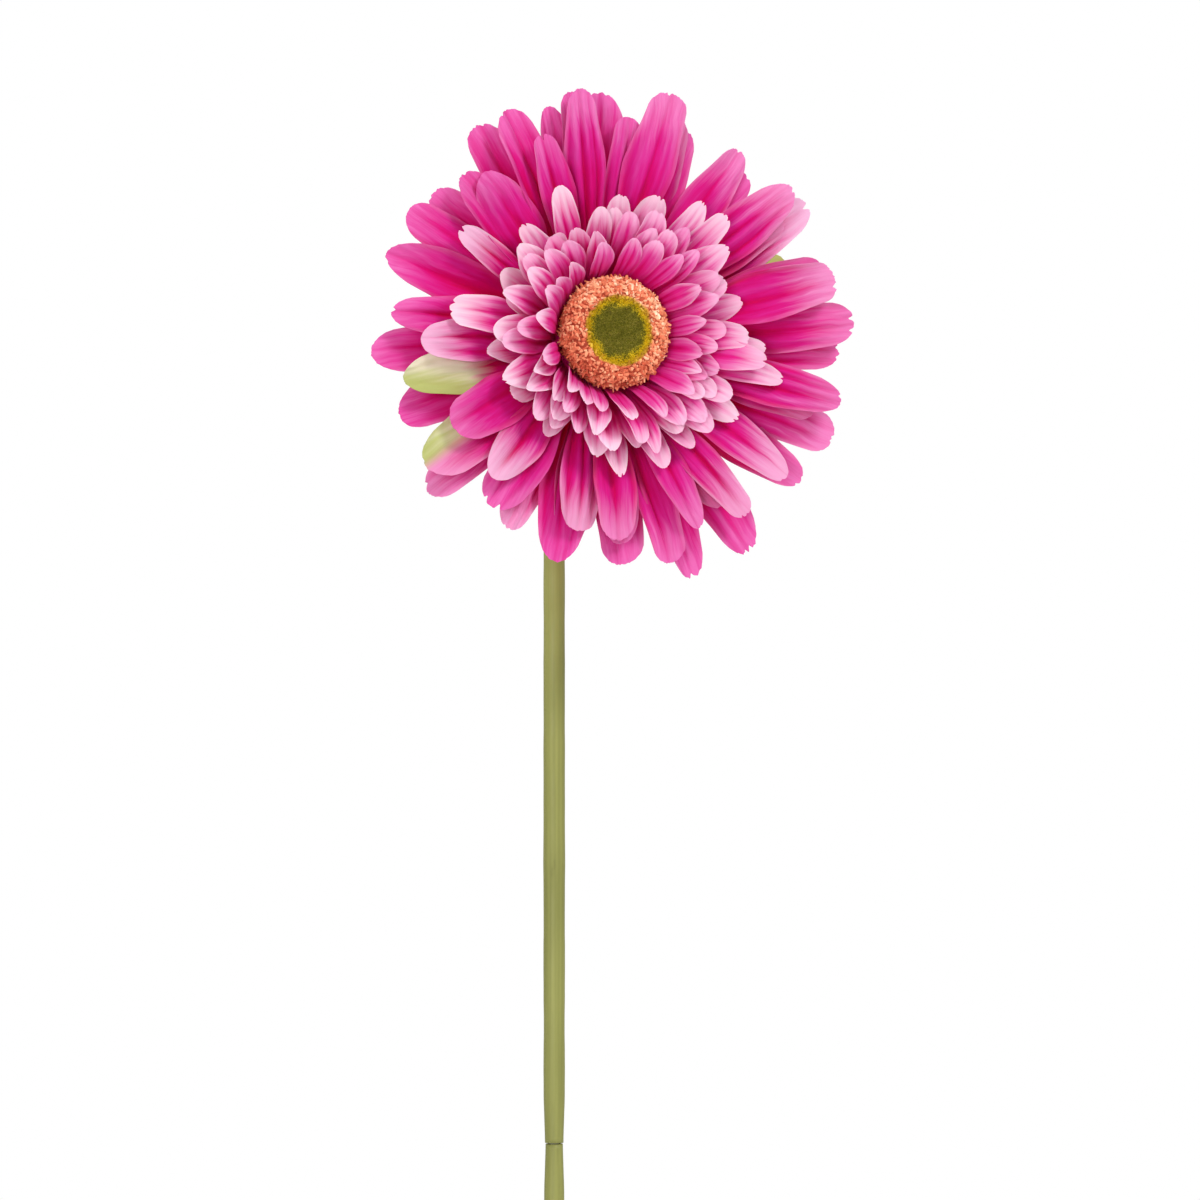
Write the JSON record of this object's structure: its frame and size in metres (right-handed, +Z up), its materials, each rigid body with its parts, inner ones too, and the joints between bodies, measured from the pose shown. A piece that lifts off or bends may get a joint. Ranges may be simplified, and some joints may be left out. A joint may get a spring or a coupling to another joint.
{
  "type": "gerbera stem",
  "caption": "Single-stem fabric gerbera: layered pink petals round a pollen ring and green eye, on a wire-cored stem with a bent neck.",
  "frame": {"origin": "centre of the stem's cut bottom end", "axes": "+Z up along the straight stem; the flower looks towards -Y, turned 20 degrees towards +X and lifted 4 degrees"},
  "size_m": [0.1215, 0.062, 0.4997],
  "materials": {
    "wire_steel": "drawn wire, dull",
    "stem_plastic": "soft olive green, satin",
    "calyx_plastic": "moulded olive green",
    "sepal_fabric": "die-cut green cloth",
    "peg_plastic": "moulded",
    "petal_fabric": "dyed cloth, magenta at the root to pink at the tip",
    "collar_fabric": "dyed cloth, pink with whitish tips",
    "core_foam": "foam",
    "pollen_crumb": "salmon orange crumb",
    "eye_flock": "olive green flock"
  },
  "bodies": {
    "root": {"stem_wire": "wire_steel", "lower_stem_sleeve": "stem_plastic", "upper_stem_sleeve": "stem_plastic", "calyx_cup": "calyx_plastic", "sepal_star": "sepal_fabric", "head_peg": "peg_plastic", "rear_petals": "petal_fabric", "outer_petals": "petal_fabric", "upper_petals": "petal_fabric", "lower_collar_petals": "collar_fabric", "upper_collar_petals": "collar_fabric", "lower_inner_petals": "collar_fabric", "upper_inner_petals": "collar_fabric", "floret_ring": "collar_fabric", "eye_core": "core_foam", "pollen_ring": "pollen_crumb", "green_eye": "eye_flock"}
  },
  "joints": []
}
